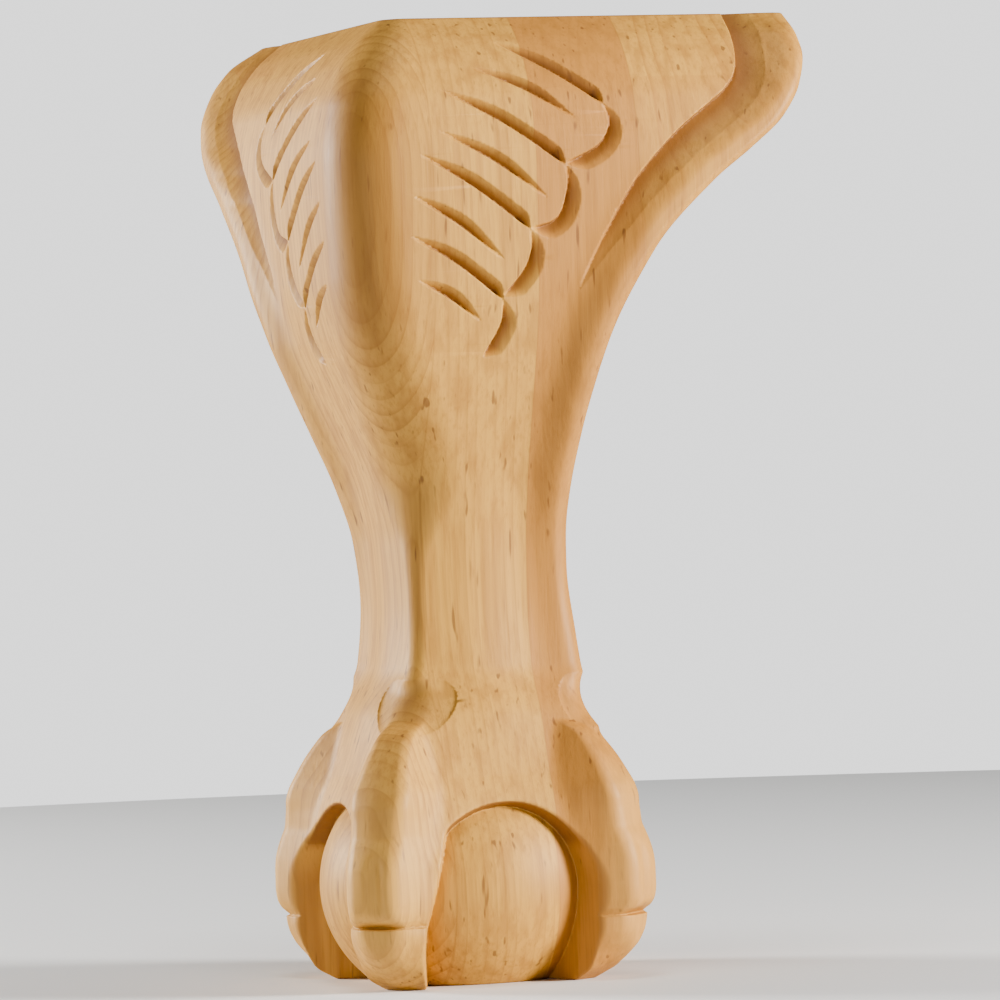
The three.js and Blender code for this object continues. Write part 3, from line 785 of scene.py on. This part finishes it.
def maple_finish(colours):
    """Bare sanded maple in glued boards: growth rings, fibres, flecks and a soft sheen, with painted shade in
    the cuts, under the arches and on the knee's front corner, and painted light on the toe fronts.
    """
    paint = Paint("bare_maple")
    place = paint.place()
    x, y, z = (part * (1 / MM) for part in paint.parts(place))
    slow = paint.noise(paint.scaled(place, (1.0, 1.0, 0.22)), 17.0, 2.0)
    cloud = paint.noise(paint.scaled(place, (1.0, 1.0, 0.4)), 34.0, 3.0, 0.55)
    fibre = paint.noise(paint.scaled(place, (1.0, 1.0, 0.045)), 900.0, 3.0, 0.65)
    streak = paint.noise(paint.scaled(place, (1.0, 1.0, 0.03)), 240.0, 2.0, 0.5)
    pore = paint.noise(paint.scaled(place, (1.0, 1.0, 0.11)), 520.0, 1.0, 0.4)

    def rings(centre, lean, spacing, wobble):
        """Growth rings round a tree's centre, in millimetres, which leans as the height grows."""
        dx, dy = x - centre[0] + z * lean[0], y - centre[1] + z * lean[1]
        radius = paint.maths("SQRT", dx * dx + dy * dy) + (slow - 0.5) * wobble
        phase = paint.maths("FRACT", radius / spacing)
        line = phase**3.5 * (1.0 - paint.remap(phase, 0.9, 1.0))
        band = paint.remap(paint.maths("FRACT", radius / (4.7 * spacing)), 0.2, 0.8)
        return line * (0.45 + 0.55 * band)

    def board(early, late, ring_share, ring):
        """One board's colour: clouds of late wood, with rings on top."""
        colour = paint.mix(cloud * 0.35, early, late)
        return paint.mix(ring * ring_share, colour, late)

    pale, honey, pink, fleck = colours.pale[:], colours.honey[:], colours.pink[:], colours.fleck[:]
    knee = board(pale, honey, 0.75, rings((-128.0, -112.0), (0.02, 0.0), 2.7, 7.0))
    middle = board(pale, honey, 0.5, rings((-104.0, -30.0), (0.03, 0.0), 3.3, 5.0))
    second = board(pink, honey, 0.35, rings((150.0, -60.0), (0.0, 0.04), 2.9, 5.0))
    orange = tuple((a + b) / 2 for a, b in zip(pink, honey))
    ear = board(pale, orange, 0.95, rings((88.0, 0.0), (-0.12, 0.1), 4.6, 22.0))
    ear = paint.mix(paint.remap(slow, 0.4, 0.62) * 0.55, ear, pink)
    colour = paint.mix(x > KNEE_JOINT, knee, middle)
    colour = paint.mix(x > MIDDLE_JOINT, colour, second)
    colour = paint.mix((x > EAR_JOINT) * (paint.remap(z, 284.0, 284.5) * 0.3 + 0.7), colour, ear)
    colour = paint.mix((y > EAR_JOINT) * (x > SECOND_EAR_FRONT), colour, ear)
    joint = paint.maths("MINIMUM", abs(x - MIDDLE_JOINT), abs(x - KNEE_JOINT))
    joint = paint.maths("MINIMUM", joint, abs(x - EAR_JOINT))
    colour = paint.mix((1.0 - paint.remap(joint, 0.1, 0.4)) * 0.3, colour, honey)
    colour = paint.mix(paint.remap(streak, 0.42, 0.7) * 0.42, colour, honey)
    colour = paint.mix(paint.remap(fibre, 0.45, 0.75) * 0.4, colour, honey)
    colour = paint.mix(paint.remap(pore, 0.67, 0.78) * 0.65, colour, fleck)
    # Painted shade: the deeper a point lies in a cut or a saddle, or the more it looks down under an arch,
    # the darker it is painted
    cut = paint.node("ShaderNodeAttribute", {"attribute_name": "cut_depth"}, {}, output="Fac")
    colour = paint.mix(paint.remap(cut, 0.2, 2.2) * 0.85, colour, paint.mix(0.6, honey, fleck))
    # Painted shade on the front corner of the knee and shin, from about 140 mm up
    painted_knee_shade = paint.remap(-1.0 * (x + y), 56.0, 82.0) * paint.remap(z, 138.0, 180.0)
    colour = paint.mix(painted_knee_shade * 0.6, colour, paint.mix(0.25, honey, fleck))
    # Painted light on the lower toe fronts, standing for light thrown up from the floor
    spread = abs(x) + abs(y)
    toe_light_share = paint.remap(spread, 72.0, 88.0) * (1.0 - paint.remap(z, 70.0, 92.0))
    colour = paint.mix(toe_light_share * 0.25, colour, colours.painted_toe_light[:])
    sawn = paint.remap(z, 304.4, 304.8)
    colour = paint.mix(sawn * (0.35 + 0.4 * cloud), colour, honey)
    paint.feed(paint.shader.inputs["Base Color"], colour)
    paint.feed(paint.shader.inputs["Roughness"], 0.5 + fibre * 0.12 + sawn * 0.38)
    grain = {"Strength": 0.25, "Distance": 0.0003, "Height": fibre + streak * 0.5}
    paint.feed(paint.shader.inputs["Normal"], paint.node("ShaderNodeBump", {}, grain))
    paint.shader.inputs["Specular IOR Level"].default_value = 0.35
    return paint.material


def floor_finish(colours):
    """A plain matt floor with a trace of mottling."""
    paint = Paint("studio_floor")
    mottling, shade = paint.noise(paint.place(), 60.0) * 0.04, (0.8, 0.8, 0.79)
    paint.feed(paint.shader.inputs["Base Color"], paint.mix(mottling, colours.floor[:], shade))
    paint.shader.inputs["Roughness"].default_value = 0.7
    return paint.material


# Pieces


class CARVING_OT_foot(bpy.types.Operator):
    """Carve the claw and ball foot and give it its bare maple"""

    bl_idname = "carving.foot"
    bl_label = "Carve the foot"

    def execute(self, context):
        sizes, colours = context.scene.carving_sizes, context.scene.maple_colours
        form = LegForm(sizes)
        reach = sizes.wing_reach / MM + 3
        low, high = (-70.0, -70.0, -2.0), (reach, reach, form.height + 2)
        vertices, faces = surface_of(form, low, high, sizes.grain_size / MM)
        foot = mesh_object("carved_foot", vertices * MM, faces)
        lighten(foot, TRIANGLES)
        self.set_normals_and_painted_shade(foot.data, form)
        foot.data.materials.append(maple_finish(colours))
        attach(foot, "root")
        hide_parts(NODE)
        return {"FINISHED"}

    def set_normals_and_painted_shade(self, mesh, form):
        """Gives the lightened mesh the form's own shading, and marks where shade is painted: by how deep each
        point is cut, and on the faces that look down under each arch.
        """
        points = np.empty(3 * len(mesh.vertices), np.float32)
        mesh.vertices.foreach_get("co", points)
        points = points.reshape(-1, 3).astype(float) / MM
        slope = form.slope(points, SHADING_REACH)
        normals = slope / np.linalg.norm(slope, axis=1)[:, None]
        mesh.normals_split_custom_set_from_vertices(normals)
        mark = mesh.attributes.new("cut_depth", "FLOAT", "POINT")
        height, down = points[:, 2], -normals[:, 2]
        # Painted shade on the faces under each arch that look down, from about 38 to 62 mm up and off the
        # ball
        at_arch = smoothstep(38, 46, height) * (height < 62)
        painted_shade_under_arch = at_arch * smoothstep(-0.2, 0.5, form.ball(*points.T))
        depth = form.painted_shade_depth(points) + 2.2 * painted_shade_under_arch * smoothstep(0.1, 0.5, down)
        mark.data.foreach_set("value", depth.astype(np.float32))


class CARVING_OT_studio(bpy.types.Operator):
    """Set the floor, the lights and the camera round the foot"""

    bl_idname = "carving.studio"
    bl_label = "Set the studio"

    def execute(self, context):
        colours = context.scene.maple_colours
        bpy.ops.mesh.primitive_circle_add(vertices=128, radius=1.1, fill_type="NGON", location=(0, 0, 0))
        floor = context.object
        floor.name = "studio_floor"
        floor.data.materials.append(floor_finish(colours))
        self.light("right", (1.42, -1.1, 0.55), 0.5, 88.0)
        self.light("left", (-1.3, 1.15, 0.5), 0.5, 62.0)
        self.light("front", (-1.2, -1.2, 0.15), 0.8, 9.0)
        self.light("top", (-0.15, -0.35, 1.7), 0.6, 9.0)
        context.scene.world = self.background(lit=0.05, shown=1.6)
        view = context.scene.view_settings
        view.view_transform, view.look, view.exposure = "AgX", "AgX - Medium High Contrast", -0.42
        self.camera(context)
        return {"FINISHED"}

    def background(self, lit, shown):
        """A white world that the camera sees at one strength and that lights the foot at another."""
        world = bpy.data.worlds.new("studio")
        world.use_nodes = True
        nodes, join = world.node_tree.nodes, world.node_tree.links.new
        choice = nodes.new("ShaderNodeMixShader")
        join(nodes.new("ShaderNodeLightPath").outputs["Is Camera Ray"], choice.inputs[0])
        skies = (nodes["Background"], nodes.new("ShaderNodeBackground"))
        for place, (sky, strength) in enumerate(zip(skies, (lit, shown)), start=1):
            sky.inputs["Color"].default_value = (1, 1, 1, 1)
            sky.inputs["Strength"].default_value = strength
            join(sky.outputs[0], choice.inputs[place])
        join(choice.outputs[0], nodes["World Output"].inputs["Surface"])
        return world

    def light(self, name, place, size, power):
        """A round lamp, with its size in metres and its power in watts, aimed at the foot's middle."""
        data = bpy.data.lights.new(name, "AREA")
        data.shape, data.size, data.energy = "DISK", size, power
        lamp = bpy.data.objects.new(name, data)
        lamp.location = place
        aim = Vector((0.02, 0.02, 0.16)) - Vector(place)
        lamp.rotation_euler = aim.to_track_quat("-Z", "Y").to_euler()
        bpy.context.collection.objects.link(lamp)

    def camera(self, context):
        """The photo's view: a long lens, nearly level and a little rolled."""
        azimuth, elevation, roll = (math.radians(a) for a in (-18.635, 0.558, -2.182))
        distance, aside, height = 2.0, 0.01624, 0.151995
        flat = math.cos(elevation)
        back = Vector((math.sin(azimuth) * flat, -math.cos(azimuth) * flat, math.sin(elevation)))
        level = Vector((math.cos(azimuth), math.sin(azimuth), 0))
        up = back.cross(level)
        right = math.cos(roll) * level + math.sin(roll) * up
        over = math.cos(roll) * up - math.sin(roll) * level
        data = bpy.data.cameras.new("photo_view")
        data.lens, data.sensor_width, data.sensor_fit = 225.39, 36.0, "HORIZONTAL"
        data.clip_start, data.clip_end = 0.1, 20.0
        camera = bpy.data.objects.new("photo_view", data)
        place = back * distance + level * aside + Vector((0, 0, height))
        camera.matrix_world = Matrix.Translation(place) @ Matrix((right, over, back)).transposed().to_4x4()
        context.collection.objects.link(camera)
        context.scene.camera = camera


class CARVING_PT_panel(bpy.types.Panel):
    """Lists the foot's sizes, colours and steps"""

    bl_idname = "CARVING_PT_panel"
    bl_label = "Claw and Ball Foot"
    bl_space_type = "VIEW_3D"
    bl_region_type = "UI"
    bl_category = "Carving"

    def draw(self, context):
        layout = self.layout
        for group in (context.scene.carving_sizes, context.scene.maple_colours):
            box = layout.box()
            for name in group.bl_rna.properties.keys():
                if name not in ("rna_type", "name"):
                    box.prop(group, name)
        layout.operator(CARVING_OT_foot.bl_idname)
        layout.operator(CARVING_OT_studio.bl_idname)


CLASSES = (CarvingSizes, MapleColours, CARVING_OT_foot, CARVING_OT_studio, CARVING_PT_panel)


def register():
    for item in CLASSES:
        bpy.utils.register_class(item)
    bpy.types.Scene.carving_sizes = bpy.props.PointerProperty(type=CarvingSizes)
    bpy.types.Scene.maple_colours = bpy.props.PointerProperty(type=MapleColours)


def unregister():
    del bpy.types.Scene.maple_colours
    del bpy.types.Scene.carving_sizes
    for item in reversed(CLASSES):
        bpy.utils.unregister_class(item)


def main():
    register()
    bpy.ops.carving.foot()
    bpy.ops.carving.studio()


if __name__ == "__main__":
    main()
